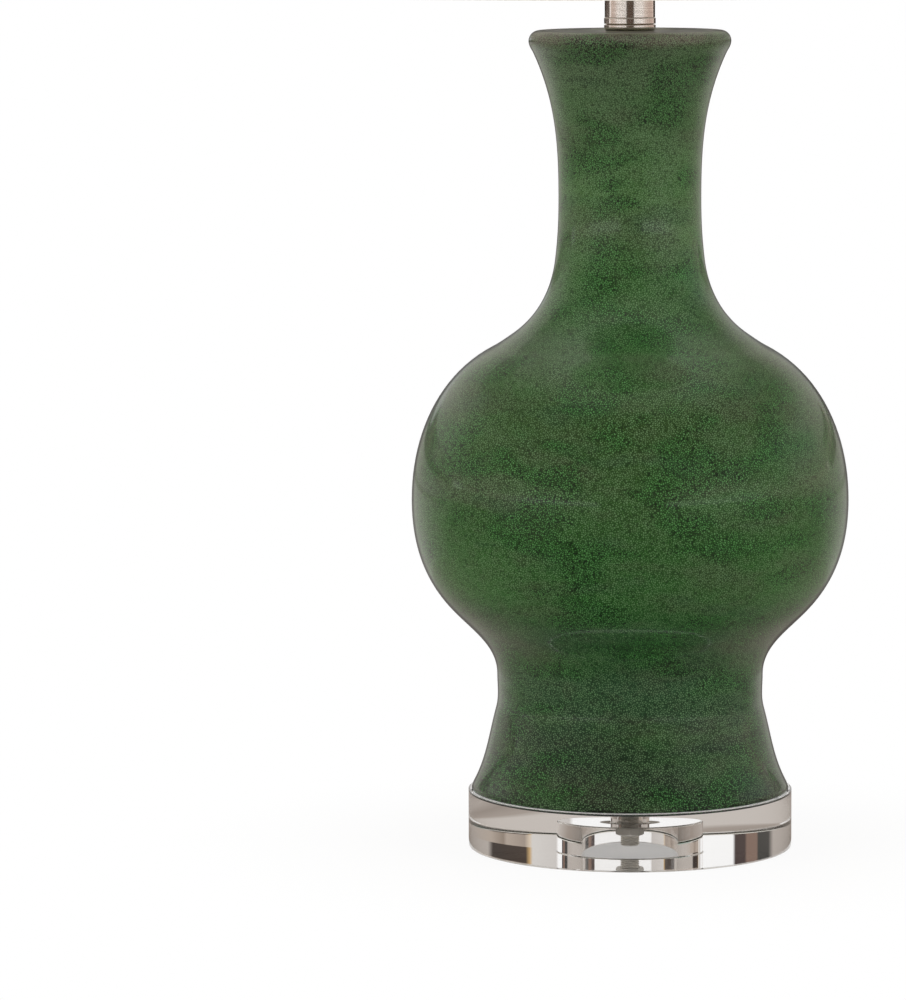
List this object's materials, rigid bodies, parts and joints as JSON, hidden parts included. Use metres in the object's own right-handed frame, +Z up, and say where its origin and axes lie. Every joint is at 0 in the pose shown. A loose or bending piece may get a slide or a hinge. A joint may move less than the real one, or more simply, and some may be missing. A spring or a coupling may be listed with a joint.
{
  "type": "table lamp",
  "caption": "Table lamp with a glazed ceramic ginger jar body on a clear round acrylic base, a nickel neck, a turn-knob lampholder, a harp, a fabric drum shade and a finial.",
  "frame": {"origin": "centre of the base disc's underside, on the surface the lamp stands on", "axes": "+Z up the lamp's axis; -Y to the front, where the switch knob points; +X to the right seen from the front"},
  "size_m": [0.4075, 0.4076, 0.7367],
  "materials": {
    "clear_acrylic": "polished, clear",
    "zinc_steel": "zinc plated, threaded",
    "green_glaze": "glossy crackle glaze",
    "bushing_plastic": "moulded",
    "brushed_nickel": "brushed nickel",
    "nickel_steel": "nickel plated",
    "liner_paper": "varnished fibre paper",
    "black_phenolic": "moulded phenolic",
    "contact_brass": "stamped",
    "thread_aluminium": "rolled thread",
    "knob_plastic": "moulded",
    "shade_fabric": "woven linen on a stiff backing",
    "shade_trim": "self trim tape",
    "white_wire": "white powder coat"
  },
  "bodies": {
    "lamp": {"base_disc": "clear_acrylic", "threaded_rod": "zinc_steel", "bottom_washer": "zinc_steel", "lock_washer": "zinc_steel", "bottom_nut": "zinc_steel", "jar": "green_glaze", "cord_bushing": "bushing_plastic", "seat_ring": "brushed_nickel", "check_ring": "brushed_nickel", "neck_tube": "brushed_nickel", "cap_ring": "brushed_nickel", "harp_saddle": "nickel_steel", "harp_bow": "nickel_steel", "harp_stud": "nickel_steel", "socket_cap": "nickel_steel", "socket_set_screw": "zinc_steel", "socket_shell": "nickel_steel", "socket_paper_liner": "liner_paper", "socket_body": "black_phenolic", "socket_terminal_screws": "contact_brass", "socket_thread_shell": "thread_aluminium", "socket_centre_contact": "contact_brass"},
    "switch_knob": {"switch_knob": "knob_plastic"},
    "sleeve_left": {"harp_sleeve_left": "nickel_steel"},
    "sleeve_right": {"harp_sleeve_right": "nickel_steel"},
    "shade": {"shade_skin": "shade_fabric", "shade_trim_bottom": "shade_trim", "shade_trim_top": "shade_trim", "shade_bottom_ring": "white_wire", "shade_top_ring": "white_wire", "shade_arms": "white_wire", "shade_hub": "white_wire"},
    "finial": {"finial": "brushed_nickel"}
  },
  "joints": [
    {"name": "switch_turn", "type": "hinge", "parent": "lamp", "child": "switch_knob", "pos_m": [0, -0.02, 0.4996], "axis": [0, -1, 0], "continuous": true},
    {"name": "sleeve_left_slide", "type": "slide", "parent": "lamp", "child": "sleeve_left", "axis": [0, 0, 1], "range_m": [0, 0.012]},
    {"name": "sleeve_right_slide", "type": "slide", "parent": "lamp", "child": "sleeve_right", "axis": [0, 0, 1], "range_m": [0, 0.012]},
    {"name": "shade_turn", "type": "hinge", "parent": "lamp", "child": "shade", "pos_m": [0, 0, 0.7], "axis": [0, 0, 1], "continuous": true},
    {"name": "finial_turn", "type": "hinge", "parent": "lamp", "child": "finial", "pos_m": [0, 0, 0.72], "axis": [0, 0, 1], "continuous": true}
  ]
}
